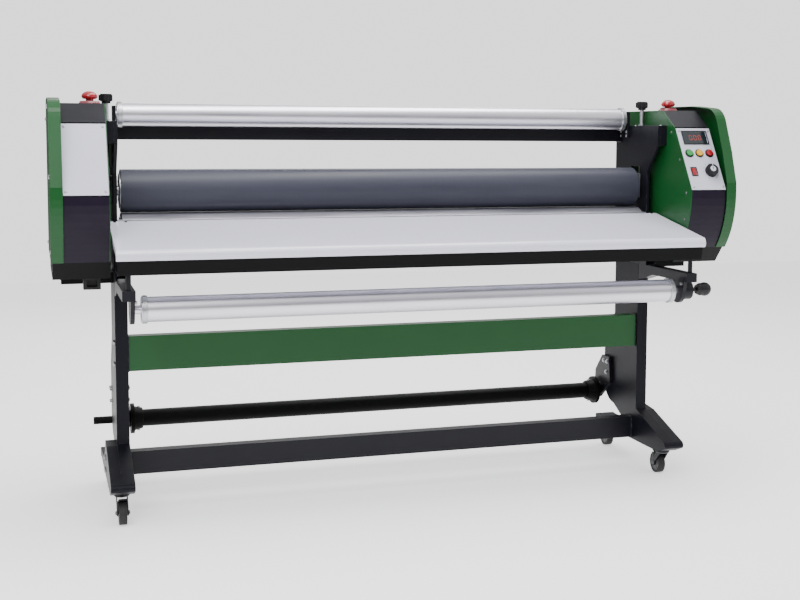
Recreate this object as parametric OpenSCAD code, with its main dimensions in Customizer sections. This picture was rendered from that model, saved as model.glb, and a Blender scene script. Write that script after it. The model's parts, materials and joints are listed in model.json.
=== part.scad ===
// Cold roll laminator on a wheeled stand: two end housings, a silicone pressure roller over a
// driven rubber roller, a folding feed table and three shafts for film, print and take-up rolls.
// X runs along the rollers, Y to the back, Z up; the origin is on the floor, in the middle.

/* [Machine] */
// Overall width across the two end covers
overall_w = 2100; // [2100:10:2160]
// Overall depth
overall_d = 680; // [680:2:700]
// Height of the nip line between the two rollers
nip_z = 878; // [874:1:882]
// Width of each end housing
housing_w = 158; // [152:2:158]

/* [Rollers and shafts] */
// Length of the roller faces
roller_face = 1690; // [1670:10:1690]
// Diameter of the upper silicone roller
upper_roller_d = 130; // [124:1:132]
// Diameter of the lower rubber roller
lower_roller_d = 124; // [118:1:124]
// How far the upper roller lifts
lift_travel = 20; // [10:1:20]
// Diameter of the film supply and print shafts
supply_shaft_d = 70; // [60:1:72]
// Diameter of the take-up shaft
takeup_shaft_d = 54; // [48:1:56]
// Diameter of the take-up core flanges
flange_d = 96; // [80:2:100]

/* [Stand] */
// Width of each leg column, seen from the front
leg_t = 37; // [36:1:37]
// Depth of the leg columns, seen from the side
leg_depth = 250; // [246:1:252]
// Height of the top of the legs
leg_top_z = 690; // [686:1:694]
// Caster wheel diameter
wheel_d = 68; // [60:1:70]

/* [Feed table] */
// Slope of the feed table, down to the front
table_slope = 10; // [9.5:0.5:10.5]

/* [Hidden] */
$fn = 64;

// Running clearance on round fits, and the gap left between neighbouring pieces
run_fit = 0.06;
gap = 0.3;

// Gap where one piece is bolted or welded against another, and the grip of a clamped bore
seat = 0.1;
grip = 0.02;

// Thickness of the housing sheets, the leg caps and the lower bearings' flanges
sheet = 2.5;
cap_t = 8;
bearing_t = 12;

// Places along X, measured from the middle
half_w = overall_w / 2;
housing_in = half_w - housing_w;
leg_in = roller_face / 2 - 11;
leg_out = leg_in + leg_t;
leg_mid = leg_in + leg_t / 2;
foot_out = leg_out + 31;
plate_in = roller_face / 2 + 14;
plate_t = 10;
plate_out = plate_in + plate_t;
rim_depth = 34;
rim_in = half_w - rim_depth;
tube_end = leg_in - 18;
film_end = roller_face / 2 + 1;
screw_x = plate_out + 11.5;

// Places along Y and Z
leg_y0 = 12;
leg_y1 = leg_y0 + leg_depth;
leg_top_y = leg_y1 - 76;
roller_y = 100;
upper_z = nip_z + upper_roller_d / 2 + gap;
lower_z = nip_z - lower_roller_d / 2;
block_z = [upper_z - 36, upper_z + 46];
film_y = 175;
film_z = 1172;
print_y = -250;
print_z = 631;
takeup_y = overall_d / 2 - flange_d / 2;
takeup_z = 208;
plate_top = 1150;
plate_back = 250;
plate_nose_y = -60;
foot_z = 86;

// Cross members, as front, rear, bottom and top
front_beam_at = [22, 62, 410, 515];
lower_tie_at = [40, 80, 92, 162];
upper_tie_at = [206, 246, 1096, 1138];
beam_wall = 3;

// Journals and their bearings
journal_r = 15;
ring_r = 27.5;
shaft_journal_r = 12;

// Front faces of the housing, as seen from the side: the panel, and the roof facet over it
panel_foot = [-232, 945];
panel_head = [-112, 1143];
roof_front = [-28, 1200];
roof_tilt = atan2(roof_front[1] - panel_head[1], roof_front[0] - panel_head[0]);
panel_vec = panel_head - panel_foot;
panel_len = norm(panel_vec);
panel_mid = (panel_head + panel_foot) / 2;
panel_tilt = atan2(panel_vec[1], panel_vec[0]);
housing_back = plate_back + 16;
back_chamfer = 40;
tray_floor = 706;
tray_top = 757;
bulge = [-40, 935];
panel_x = (housing_in + sheet + rim_in) / 2;
panel_w = rim_in - housing_in - sheet - 2 * gap;

// Drive
sprocket_x = housing_in + 18;
sprocket_t = 7;
chain_pitch = 12.7;
roller_teeth = 25;
motor_teeth = 15;
motor_y = -62;
motor_z = 790;

// Table hinge axis and the feet of the stand
hinge_y = -4;
hinge_z = nip_z - 32;
hinge_r = 5;
ear_r = 9.5;
table_t = 18;
table_top = 14;
table_skin = 2.5;
nose_r = 18;
table_depth = (overall_d / 2 + hinge_y - nose_r + (nose_r - table_top) * sin(table_slope))
              / cos(table_slope);
caster_front_y = -118;
caster_rear_y = 274;
caster_trail = 32;
caster_x = (leg_in + foot_out) / 2;
table_half = housing_in - 6;
arm_z = [662, leg_top_z];

green = [0.10, 0.33, 0.15];
black = [0.12, 0.12, 0.14];
steel = [0.72, 0.73, 0.76];

// ---- shared shapes ----

// A point list along an arc in the plane of the outline
function arc(centre, r, a0, a1, n = 8) =
    [for (i = [0:n]) centre + r * [cos(a0 + (a1 - a0) * i / n), sin(a0 + (a1 - a0) * i / n)]];

// The same for an oval with half-width a and half-height b
function oval(centre, a, b, a0, a1, n = 8) =
    [for (i = [0:n]) centre + [a * cos(a0 + (a1 - a0) * i / n), b * sin(a0 + (a1 - a0) * i / n)]];

function reverse(points) = [for (i = [len(points) - 1:-1:0]) points[i]];

function shifted(points, by) = [for (p = points) p + by];

// Runs a side outline, given as [y, z] points, from x0 to x1
module side_extrude(x0, x1) {
    translate([x0, 0, 0])
        rotate([90, 0, 90])
            linear_extrude(height = x1 - x0)
                children();
}

// A round bar along X
module bar_x(x0, x1, r, y = 0, z = 0, facets = 64) {
    translate([x0, y, z])
        rotate([0, 90, 0])
            cylinder(h = x1 - x0, r = r, $fn = facets);
}

// A box from one corner to the opposite one
module block(low, high) {
    translate(low)
        cube(high - low);
}

// A rectangular tube along X, open at its ends
module tube_beam(x_half, at) {
    wall = beam_wall;
    difference() {
        block([-x_half, at[0], at[2]], [x_half, at[1], at[3]]);
        block([-x_half - 1, at[0] + wall, at[2] + wall], [x_half + 1, at[1] - wall, at[3] - wall]);
    }
}

// Puts a shape on the right for side 1 and mirrors it to the left for side -1
module on_side(side) {
    if (side > 0)
        children();
    else
        mirror([1, 0, 0])
            children();
}

module both_sides() {
    for (side = [-1, 1])
        on_side(side)
            children();
}

// A hollow roll body with plugged ends, a vent in each plug and a journal at each end
module roll_tube(face_half, r, wall, stub_r, left_end, right_end, y, z) {
    plug = 20;
    difference() {
        bar_x(-face_half, face_half, r, y, z);
        bar_x(-face_half + plug, face_half - plug, r - wall, y, z);
        for (side = [-1, 1])
            translate([side * face_half, y, z + (r - wall) * 0.8])
                rotate([0, 90, 0])
                    cylinder(h = 3 * plug, r = 2.5, center = true, $fn = 16);
    }
    bar_x(face_half, right_end, stub_r, y, z);
    bar_x(-left_end, -face_half, stub_r, y, z);
}

// Moves from the middle of a sloping front panel to the machine; local z is the outward normal
module on_panel(side) {
    translate([side * panel_x, panel_mid[0], panel_mid[1]])
        rotate([panel_tilt, 0, 0])
            children();
}

// ---- stand ----

// Foot under a leg: sloping front, flat sole and a low tail to the rear caster
foot_tip = [-186, 114];
foot_tail = overall_d / 2 - 14;
tail_h = 26;
foot_front = concat(
    arc(foot_tip, 12, 108, 235, 5),
    [[-148, foot_z], [foot_tail, foot_z], [foot_tail, foot_z + tail_h]]
);

// Column with a rounded lower rear corner, widening below the front beam, on its foot
column_outline = concat(
    [[leg_y0, leg_top_z], [leg_y0, 196]],
    foot_front,
    arc([146, foot_z + 63], 36, -80, -170),
    arc([leg_y1 - 76, 256], 76, -90, 0),
    [[leg_y1, 400], [leg_top_y, 500], [leg_top_y, leg_top_z]]
);

module leg() {
    color(black)
        difference() {
            union() {
                side_extrude(leg_in, leg_out)
                    polygon(column_outline);
                side_extrude(leg_out - 5, foot_out)
                    polygon(concat([[70, 196], [leg_y0, 190]], foot_front,
                                   [[160, foot_z + tail_h], [108, 150]]));
            }
            block([leg_in + 4, leg_y0 + 4, 262], [leg_out - 4, leg_top_y - 4, leg_top_z + 1]);
        }
}

window_half = 32;
window_z = [block_z[0] - 3, block_z[1] + lift_travel + 5];
plate_outline = [
    [leg_y0, leg_top_z + cap_t], [plate_back, leg_top_z + cap_t], [plate_back, 1122],
    [plate_back - 28, plate_top], [plate_nose_y, plate_top], [plate_nose_y, 1085], [leg_y0, 1000]
];

// Carries both rollers: a bore for the lower bearing and a window for the sliding block
module side_plate() {
    color(black) {
        difference() {
            side_extrude(plate_in, plate_out)
                polygon(plate_outline);
            bar_x(plate_in - 1, plate_out + 1, 36, roller_y, lower_z);
            block([plate_in - 1, roller_y - window_half, window_z[0]],
                  [plate_out + 1, roller_y + window_half, window_z[1]]);
        }
        block([leg_in, leg_y0, leg_top_z + gap], [leg_out, leg_top_y, leg_top_z + cap_t]);
    }
}

module front_beam() {
    color(green)
        tube_beam(leg_in - seat, front_beam_at);
}

module lower_tie_bar() {
    color(black)
        tube_beam(leg_in - seat, lower_tie_at);
}

module upper_tie_bar() {
    color(black)
        tube_beam(plate_in - seat, upper_tie_at);
}

bolt_r = 7;

module hex_bolt(r = bolt_r) {
    cylinder(h = r * 0.7, r = r, $fn = 6);
}

// A bolt head on a face that looks along +X
module side_bolt(x, y, z, r = bolt_r) {
    translate([x, y, z])
        rotate([0, 90, 0])
            hex_bolt(r);
}

// Bolt heads on the outer faces of the legs, the side plates and the lower bearings
module frame_fasteners() {
    edge = 16;
    flange_bolt_r = 5;
    bolt_circle = 40;
    color(steel)
        both_sides() {
            for (y = [front_beam_at[0] + 10, front_beam_at[1] - 10])
                for (z = [front_beam_at[2] + 20, front_beam_at[3] - 20])
                    side_bolt(leg_out, y, z);
            for (y = [lower_tie_at[0] + 10, lower_tie_at[1] - 10])
                for (z = [lower_tie_at[2] + edge, lower_tie_at[3] - edge])
                    side_bolt(foot_out, y, z);
            for (y = [upper_tie_at[0] + 11, upper_tie_at[1] - 11])
                side_bolt(plate_out, y, (upper_tie_at[2] + upper_tie_at[3]) / 2);
            for (y = [leg_y0 + 40, leg_top_y - 30])
                translate([leg_in + 11, y, leg_top_z + cap_t])
                    hex_bolt();
            for (a = [45:90:315])
                side_bolt(plate_out + bearing_t, roller_y + bolt_circle * cos(a),
                          lower_z + bolt_circle * sin(a), flange_bolt_r);
        }
}

// ---- end housings ----

rim_foot_angle = 180 + asin((bulge[1] - tray_top) / 243);
rim_outline = concat(
    oval(bulge, 198, 243, rim_foot_angle, 180, 9),
    [[-237, 968], [-205, 1068], [-171, 1148]],
    arc([-98, 1136], 72, 160, 95, 6),
    [[4, 1216]],
    arc([housing_back - 55, 1160], 56, 90, 0),
    [[housing_back + 1, tray_top]]
);

// Green side shell with a deep rim that stands proud of the panels
module outer_cover() {
    color(green)
        difference() {
            side_extrude(rim_in, half_w)
                polygon(rim_outline);
            side_extrude(rim_in - 1, half_w - 3)
                offset(delta = -3)
                    polygon(rim_outline);
        }
}

lower_front = oval(bulge, 192, 243, rim_foot_angle, 184, 8);

// Over the roof and down the back of a housing
roof_line = [
    roof_front, [housing_back - back_chamfer, roof_front[1]],
    [housing_back, roof_front[1] - back_chamfer], [housing_back, tray_top + 1]
];

// Green inner side sheet of a housing; the drive side has a hole for the roller journal
module inner_cover(drive) {
    difference() {
        side_extrude(housing_in, housing_in + sheet - gap)
            polygon(concat(lower_front, [panel_foot, panel_head], roof_line));
        if (drive)
            bar_x(housing_in - 1, housing_in + sheet, journal_r + 6, roller_y, lower_z);
    }
}

module inner_covers() {
    color(green)
        for (side = [-1, 1])
            on_side(side)
                inner_cover(side < 0);
}

// One bent sheet per side: a front facet, the roof with the stop switch hole, the louvred back
module top_rear_covers() {
    lip = panel_head + 4 * [cos(roof_tilt), sin(roof_tilt)];
    inward = sheet * [sin(roof_tilt), -cos(roof_tilt)];
    inner_line = [
        lip + inward, roof_front + [0.8, -sheet], roof_line[1] + [-1, -sheet],
        roof_line[2] + [-sheet, -1], roof_line[3] - [sheet, 0]
    ];
    color(black)
        both_sides()
            difference() {
                side_extrude(housing_in + sheet, rim_in - gap)
                    polygon(concat([lip], roof_line, reverse(inner_line)));
                on_roof()
                    translate([0, 0, -10])
                        cylinder(h = 20, r = estop_stem_r + gap);
                for (z = [800:14:884])
                    block([panel_x - 40, housing_back - 5, z], [panel_x + 40, housing_back + 1, z + 5]);
            }
}

module panel_plate() {
    translate([-panel_w / 2, -panel_len / 2 + 2, -3])
        cube([panel_w, panel_len - 4, 3]);
}

module left_fascia() {
    color([0.82, 0.82, 0.86])
        on_panel(-1)
            panel_plate();
}

// Places on the control panel, in its own plane
display_at = [0, 78];
display_size = [84, 44];
button_y = 20;
button_x = [-36, 0, 36];
button_r = 11;
knob_at = [24, -48];
knob_r = 21;
rocker_at = [-36, -48];
rocker_size = [15, 26];

module control_panel() {
    color([0.82, 0.82, 0.86])
        on_panel(1)
            difference() {
                panel_plate();
                translate([display_at[0], display_at[1], 0])
                    cube([display_size[0], display_size[1], 20], center = true);
                for (x = button_x)
                    translate([x, button_y, -5])
                        cylinder(h = 10, r = button_r);
                translate([knob_at[0], knob_at[1], -5])
                    cylinder(h = 10, r = 4);
                translate([rocker_at[0], rocker_at[1], 0])
                    cube([rocker_size[0], rocker_size[1], 20], center = true);
            }
}

module display_window() {
    color([0.15, 0.2, 0.25])
        on_panel(1)
            translate([display_at[0], display_at[1], -1.2])
                cube([display_size[0] - 2 * gap, display_size[1] - 2 * gap, 3], center = true);
}

// Circuit board behind the control panel, with the knob's potentiometer and a relay row
module control_board() {
    color([0.1, 0.4, 0.2])
        on_panel(1) {
            translate([-55, -95, -32])
                cube([110, 190, 2]);
            translate([knob_at[0] - 10, knob_at[1] - 10, -30])
                cube([20, 20, 10]);
            for (y = [44:16:76])
                translate([-40, y, -30])
                    cube([28, 12, 12]);
            for (x = [-50, 50], y = [-88, 88])
                translate([x, y, -31])
                    cylinder(h = 27.9, r = 3);
        }
}

module lower_fascias() {
    strip = concat(lower_front, [panel_foot + [1, -2]]);
    color([0.2, 0.17, 0.26])
        both_sides()
            side_extrude(housing_in + sheet, rim_in - gap)
                polygon(concat(strip, reverse(shifted(strip, [4, 0]))));
}

// Black tray under each housing, on two arms that are bolted to the leg
module base_trays() {
    tray_back = housing_back - 4;
    color(black)
        both_sides() {
            difference() {
                side_extrude(housing_in - 3, half_w - 4)
                    polygon([[-166, tray_top - gap], [-122, tray_floor], [tray_back, tray_floor],
                             [tray_back, tray_top - gap]]);
                side_extrude(housing_in, half_w - 7)
                    polygon([[-163.2, tray_top + 1], [-120.6, tray_floor + 3],
                             [tray_back - 3, tray_floor + 3], [tray_back - 3, tray_top + 1]]);
            }
            for (y = [40, 150])
                block([leg_out + seat, y, tray_floor - 32], [half_w - 30, y + 26, tray_floor + 0.2]);
        }
}

// ---- roller drive and bearings ----

// Flanged bearings in the side plates' bores
module lower_roller_bearings() {
    color(steel)
        both_sides()
            difference() {
                union() {
                    bar_x(plate_out + seat, plate_out + bearing_t, 50, roller_y, lower_z);
                    bar_x(plate_in + 1, plate_out + 0.2, 35.9, roller_y, lower_z);
                }
                bar_x(plate_in - 1, plate_out + 20, journal_r + run_fit, roller_y, lower_z);
            }
}

module lower_roller_core() {
    color(steel)
        roll_tube(roller_face / 2, lower_roller_d / 2 - 7, 8, journal_r,
                  sprocket_x + 14, plate_out + 15, roller_y, lower_z);
}

module roller_sleeve(r, r_core, z) {
    difference() {
        bar_x(-roller_face / 2, roller_face / 2, r, roller_y, z);
        bar_x(-roller_face / 2 - 1, roller_face / 2 + 1, r_core + grip, roller_y, z);
    }
}

module lower_roller_sleeve() {
    color([0.14, 0.14, 0.15])
        roller_sleeve(lower_roller_d / 2, lower_roller_d / 2 - 7, lower_z);
}

function pitch_r(teeth) = chain_pitch / 2 / sin(180 / teeth);

// Chain sprocket about the X axis, with tapered teeth and a hub
module sprocket(teeth, bore_r, hub_r, y, z) {
    root_r = pitch_r(teeth) - 4.2;
    tip_r = pitch_r(teeth) + 3.4;
    translate([-sprocket_x, y, z])
        rotate([0, 90, 0])
            difference() {
                union() {
                    translate([0, 0, -sprocket_t / 2])
                        linear_extrude(height = sprocket_t) {
                            circle(r = root_r);
                            for (i = [0:teeth - 1])
                                rotate(i * 360 / teeth)
                                    polygon([[root_r - 2, -4], [tip_r, -1.4], [tip_r, 1.4],
                                             [root_r - 2, 4]]);
                        }
                    cylinder(h = 11, r = hub_r);
                }
                if (bore_r > 0)
                    cylinder(h = 60, r = bore_r, center = true);
            }
}

module roller_sprocket() {
    color(steel)
        sprocket(roller_teeth, journal_r + grip, 26, roller_y, lower_z);
}

// Small sprocket made in one with the gearbox output shaft
module motor_sprocket() {
    color(steel) {
        sprocket(motor_teeth, 0, 16, motor_y, motor_z);
        bar_x(-sprocket_x - 30, -sprocket_x, 9, motor_y, motor_z);
    }
}

// Outline of a loop round both sprockets, grown outwards by h from the pitch line
module loop_outline(h) {
    big = pitch_r(roller_teeth) + h;
    small = pitch_r(motor_teeth) + h;
    between = [roller_y - motor_y, lower_z - motor_z];
    span = norm(between);
    lean = asin((big - small) / span);
    rotate(atan2(between[1], between[0]))
        polygon(concat(arc([span, 0], big, -90 - lean, 90 + lean, 32),
                       arc([0, 0], small, 90 + lean, 270 - lean, 20)));
}

// Side plates of the roller chain all round, with its rollers on the two straight runs
module drive_chain() {
    between = [roller_y - motor_y, lower_z - motor_z];
    span = norm(between);
    small = pitch_r(motor_teeth);
    lean = asin((pitch_r(roller_teeth) - small) / span);
    run = span * cos(lean);
    color([0.3, 0.3, 0.3])
        translate([-sprocket_x, motor_y, motor_z])
            rotate([90, 0, 90]) {
                for (offset_x = [-sprocket_t / 2 - 3, sprocket_t / 2 + 0.6])
                    translate([0, 0, offset_x])
                        linear_extrude(height = 2.4)
                            difference() {
                                loop_outline(5.4);
                                loop_outline(-5.4);
                            }
                for (upper = [-1, 1])
                    rotate(atan2(between[1], between[0]))
                        for (s = [chain_pitch * 3:chain_pitch:run - chain_pitch * 3])
                            translate([s * cos(lean) - small * sin(lean),
                                       upper * (small * cos(lean) + s * sin(lean)),
                                       -sprocket_t / 2 - 1])
                                cylinder(h = sprocket_t + 2, r = 4.2, $fn = 24);
            }
}

// Worm gearbox with its motor standing on top, on a foot in the left tray
module gearmotor() {
    face_x = sprocket_x + 20;
    gearbox_w = housing_w - 74;
    gearbox_half_y = 46;
    gearbox_half_z = 50;
    foot_half_y = 30;
    motor_x = -face_x - gearbox_w / 2;
    motor_base = motor_z + gearbox_half_z - 1;
    color([0.45, 0.47, 0.5])
        difference() {
            union() {
                block([-face_x - gearbox_w, motor_y - gearbox_half_y, motor_z - gearbox_half_z],
                      [-face_x, motor_y + gearbox_half_y, motor_z + gearbox_half_z]);
                block([-face_x - gearbox_w + 4, motor_y - foot_half_y, tray_floor + 3.2],
                      [-face_x - 10, motor_y + foot_half_y, motor_z - gearbox_half_z + 1]);
                translate([motor_x, motor_y, motor_base])
                    cylinder(h = 150, r = 38);
                translate([motor_x, motor_y, motor_base + 11])
                    cylinder(h = 8, r = 42);
            }
            bar_x(-face_x - 40, -face_x + 1, 9 + run_fit, motor_y, motor_z);
        }
}

// ---- pressure adjustment ----

screw_r = 7;
screw_foot_z = block_z[1] - 22;
collar_r = 10.8;
nut_h = 24;
handwheel_z = 1203;

// Sliding blocks, grooved on the window edges, each with its bearing ring
module bearing_blocks() {
    color([0.5, 0.5, 0.53])
        both_sides() {
            difference() {
                union() {
                    block([plate_in - 4, roller_y - window_half + gap, block_z[0]],
                          [plate_out + 4, roller_y + window_half - gap, block_z[1]]);
                    block([plate_in - 4, roller_y - window_half - 8, block_z[0]],
                          [plate_in - gap, roller_y + window_half + 8, block_z[1]]);
                    block([plate_out + gap, roller_y - window_half - 8, block_z[0]],
                          [plate_out + 4, roller_y + window_half + 8, block_z[1]]);
                    block([plate_out + 3, roller_y - 16, block_z[1] - 14],
                          [housing_in - 1, roller_y + 16, block_z[1]]);
                }
                bar_x(plate_in - 5, plate_out + 5, ring_r, roller_y, upper_z);
                translate([screw_x, roller_y, screw_foot_z - 1])
                    cylinder(h = 30, r = screw_r + run_fit);
            }
            difference() {
                bar_x(plate_in - 3, plate_out + 3, ring_r - 0.05, roller_y, upper_z);
                bar_x(plate_in - 5, plate_out + 5, journal_r + run_fit, roller_y, upper_z);
            }
        }
}

// Bent covers that bridge each side plate to its housing and carry the pressure screw's nut
module pressure_bridges() {
    skin = 3;
    front = plate_nose_y;
    color(black)
        both_sides()
            difference() {
                side_extrude(plate_out + seat, housing_in - gap)
                    polygon([[front, 1086], [front, plate_top], [roller_y + 60, plate_top],
                             [roller_y + 60, plate_top - skin], [roller_y + 20, plate_top - skin],
                             [roller_y + 20, plate_top - nut_h], [roller_y - 20, plate_top - nut_h],
                             [roller_y - 20, plate_top - skin], [front + skin, plate_top - skin],
                             [front + skin, 1086]]);
                translate([screw_x, roller_y, plate_top - nut_h - 1])
                    cylinder(h = nut_h + 2, r = screw_r + run_fit);
            }
}

module pressure_screw() {
    color(steel)
        translate([screw_x, roller_y, 0]) {
            translate([0, 0, screw_foot_z])
                cylinder(h = handwheel_z + 8 - screw_foot_z, r = screw_r);
            for (z = [plate_top - nut_h - 6 - gap, plate_top + gap])
                translate([0, 0, z])
                    cylinder(h = 6, r = collar_r);
        }
}

// Five-lobed pressure handwheel
module handwheel() {
    color([0.3, 0.08, 0.12])
        translate([screw_x, roller_y, handwheel_z])
            difference() {
                union() {
                    translate([0, 0, 6])
                        cylinder(h = 22, r = 17);
                    cylinder(h = 8, r = 13);
                    for (i = [0:4])
                        rotate(i * 72)
                            translate([15.5, 0, 8])
                                cylinder(h = 17, r = 6, $fn = 32);
                }
                translate([0, 0, -1])
                    cylinder(h = 9.02, r = screw_r + grip);
            }
}

module upper_roller_core() {
    color(steel)
        roll_tube(roller_face / 2, upper_roller_d / 2 - 7, 8, journal_r,
                  plate_out + 2, plate_out + 2, roller_y, upper_z);
}

module upper_roller_sleeve() {
    color([0.32, 0.33, 0.39])
        roller_sleeve(upper_roller_d / 2, upper_roller_d / 2 - 7, upper_z);
}

// ---- film, print and take-up shafts ----

// Open-topped cradles on the inner faces of the side plates
module film_shaft_cradles() {
    color(black)
        both_sides()
            difference() {
                block([film_end + 4, film_y - 30, 1108], [plate_in - seat, film_y + 30, film_z + 26]);
                bar_x(film_end, plate_in + 1, shaft_journal_r + run_fit, film_y, film_z);
                block([film_end, film_y - shaft_journal_r - run_fit, film_z],
                      [plate_in + 1, film_y + shaft_journal_r + run_fit, film_z + 40]);
            }
}

module film_shaft() {
    color([0.8, 0.8, 0.84])
        roll_tube(film_end, supply_shaft_d / 2, 5, shaft_journal_r,
                  plate_in - 1, plate_in - 1, film_y, film_z);
}

bracket_t = 12;

// Hanging plates under the table arms; the right one carries the brake housing
module print_shaft_brackets() {
    color(black) {
        both_sides()
            difference() {
                side_extrude(leg_in + 1, leg_in + 1 + bracket_t)
                    polygon(concat([[print_y - 50, arm_z[0] - seat]],
                                   arc([print_y, print_z], 40, 180, 360, 12),
                                   [[print_y + 50, arm_z[0] - seat]]));
                bar_x(leg_in, leg_in + bracket_t + 2, shaft_journal_r + run_fit, print_y, print_z);
            }
        difference() {
            bar_x(leg_in + bracket_t + 1.2, leg_in + 46, 30, print_y, print_z);
            bar_x(leg_in + bracket_t, leg_in + 36, shaft_journal_r + 1, print_y, print_z);
            bar_x(leg_in + 30, leg_in + 50, 6 + run_fit, print_y, print_z);
        }
    }
}

module print_shaft() {
    color([0.8, 0.8, 0.84])
        roll_tube(tube_end, supply_shaft_d / 2, 5, shaft_journal_r,
                  leg_in + bracket_t, leg_in + bracket_t + 16, print_y, print_z);
}

// Ball-ended screw that sets the brake on the print shaft
module brake_knob() {
    color(black)
        translate([0, print_y, print_z])
            rotate([0, 90, 0]) {
                translate([0, 0, leg_in + 34])
                    cylinder(h = 60, r = 6);
                translate([0, 0, leg_in + 70])
                    cylinder(h = 12, r1 = 14, r2 = 20);
                translate([0, 0, leg_in + 100])
                    sphere(r = 22);
                translate([0, 0, leg_in + 82])
                    cylinder(h = 12, r = 20);
            }
}

// Plates on the inner faces of the legs that reach back to the take-up shaft
module takeup_brackets() {
    color(black)
        both_sides()
            difference() {
                side_extrude(leg_in - bracket_t, leg_in - seat)
                    polygon(concat([[leg_y1 - 60, 340], [leg_y1 - 70, 250]],
                                   arc([takeup_y, takeup_z], 26, 215, 375, 10),
                                   [[takeup_y + 20, 280], [leg_y1 - 4, 340]]));
                bar_x(tube_end - 3, leg_in + 1, shaft_journal_r + run_fit, takeup_y, takeup_z);
            }
}

module takeup_shaft() {
    color(black)
        roll_tube(tube_end, takeup_shaft_d / 2, 4, shaft_journal_r,
                  leg_out + 54, leg_in + 14, takeup_y, takeup_z);
}

// Core flanges with tapered noses, clamped on the take-up shaft near its ends
module takeup_flanges() {
    bore_r = takeup_shaft_d / 2 + grip;
    color([0.25, 0.25, 0.28])
        both_sides()
            translate([tube_end - 4, takeup_y, takeup_z])
                rotate([0, -90, 0])
                    difference() {
                        union() {
                            cylinder(h = 12, r = flange_d / 2);
                            translate([0, 0, 12])
                                cylinder(h = 26, r1 = 39, r2 = 33);
                        }
                        translate([0, 0, -1])
                            cylinder(h = 50, r = bore_r);
                    }
}

module shaft_brackets() {
    film_shaft_cradles();
    print_shaft_brackets();
    takeup_brackets();
}

// ---- feed table ----

// Turns the table's own frame, level with its hinge, to the slope it rests at
module at_table() {
    translate([0, hinge_y, hinge_z])
        rotate([table_slope, 0, 0])
            children();
}

table_pockets = 9;
pocket_step = (2 * table_half - table_skin) / table_pockets;

// Sloping panel, ribbed underneath, with a rounded nose and hinge knuckles at its rear edge
module feed_table() {
    color([0.88, 0.88, 0.92])
        at_table()
            difference() {
                union() {
                    side_extrude(-table_half, table_half)
                        polygon(concat([[0, table_top - table_t], [0, table_top],
                                        [-table_depth, table_top]],
                                       arc([-table_depth, table_top - nose_r], nose_r, 95, 215, 8),
                                       [[-table_depth + 2, table_top - table_t]]));
                    both_sides()
                        bar_x(leg_in + 6, leg_out - 6, ear_r, 0, 0);
                }
                for (i = [0:table_pockets - 1])
                    translate([-table_half + table_skin + i * pocket_step, -table_depth + 32, -table_t])
                        cube([pocket_step - table_skin, table_depth - 52,
                              table_t + table_top - table_skin]);
                both_sides() {
                    bar_x(leg_in - 1, leg_out + 1, hinge_r + run_fit, 0, 0);
                    for (x = [leg_in - 1, leg_out - 6])
                        block([x, -ear_r - 4, -table_t], [x + 7, ear_r, table_t]);
                }
            }
}

// Black front rail under the nose
rail_h = 52;
rail_bottom = table_top - table_t - rail_h;

module table_front_rail() {
    color(black)
        at_table()
            translate([0, -table_depth, table_top - table_t])
                side_extrude(-table_half + 4, table_half - 4)
                    polygon([[-8, -10.5], [6, -seat], [28, -seat], [28, -3], [7, -3], [-5, -12],
                             [-5, 3 - rail_h], [24, 3 - rail_h], [24, -rail_h], [-8, -rail_h]]);
}

// Arms from the legs that carry the table and the print shaft, with hinge pins and rest posts
arm_front = print_y - 66;
post_r = 7;
post_y = arm_front + 13;

// Where the front of a post meets the sloping underside of the rail
post_reach = (post_y - post_r - hinge_y + rail_bottom * sin(table_slope)) / cos(table_slope);
post_top = hinge_z + post_reach * sin(table_slope) + rail_bottom * cos(table_slope) - 2 * gap;

module table_arms() {
    color(black)
        both_sides() {
            side_extrude(leg_in + 0.5, leg_out - 0.5)
                polygon([[arm_front, arm_z[0]], [arm_front, arm_z[1]], [leg_y0 - seat, arm_z[1]],
                         [leg_y0 - seat, arm_z[0] - 26], [-30, arm_z[0] - 16], [-90, arm_z[0]]]);
            for (x = [leg_in + 0.5, leg_out - 5.5])
                side_extrude(x, x + 5)
                    polygon(concat([[-40, arm_z[1] - 1], [leg_y0 - 0.4, arm_z[1] - 1]],
                                   arc([hinge_y, hinge_z], ear_r, 0, 180)));
            bar_x(leg_in + 1, leg_out - 1, hinge_r, hinge_y, hinge_z);
            translate([leg_mid, post_y, arm_z[1] - 1])
                cylinder(h = post_top - arm_z[1] + 1, r = post_r);
        }
}

// Narrow fixed plate that leads the sheet from the table into the nip
module nip_guide_plate() {
    color([0.8, 0.8, 0.84])
        difference() {
            side_extrude(-roller_face / 2, roller_face / 2)
                polygon([[leg_y0 + 1, nip_z - 20], [leg_y0 + 1, nip_z - 16], [roller_y - 60, nip_z - 2],
                         [roller_y - 30, nip_z + 1], [roller_y - 30, nip_z - 0.5],
                         [roller_y - 59, nip_z - 5]]);
            bar_x(-half_w, half_w, lower_roller_d / 2 + 1.5, roller_y, lower_z);
        }
    color(black)
        both_sides()
            block([roller_face / 2 - 1, leg_y0 + 2, nip_z - 34],
                  [plate_in - seat, leg_y0 + 28, nip_z - 16]);
}

// ---- switches ----

estop_at = [housing_in + 39, 10, roof_front[1]];
estop_stem_r = 11;
estop_collar_r = 31;
estop_collar_h = 7;
estop_head_r = 23;
estop_head_h = 23;
estop_head_z = estop_collar_h + 6;

// Moves from the place of the right stop switch, on the roof, to the machine
module on_roof() {
    translate(estop_at)
        children();
}

// Low tapered shrouds round the stop switches
module estop_collars() {
    color([0.6, 0.3, 0.35])
        both_sides()
            on_roof()
                difference() {
                    translate([0, 0, seat])
                        cylinder(h = estop_collar_h, r1 = estop_collar_r, r2 = estop_collar_r - 4);
                    translate([0, 0, -1])
                        cylinder(h = estop_collar_h + 2, r = estop_stem_r + gap);
                }
}

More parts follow.
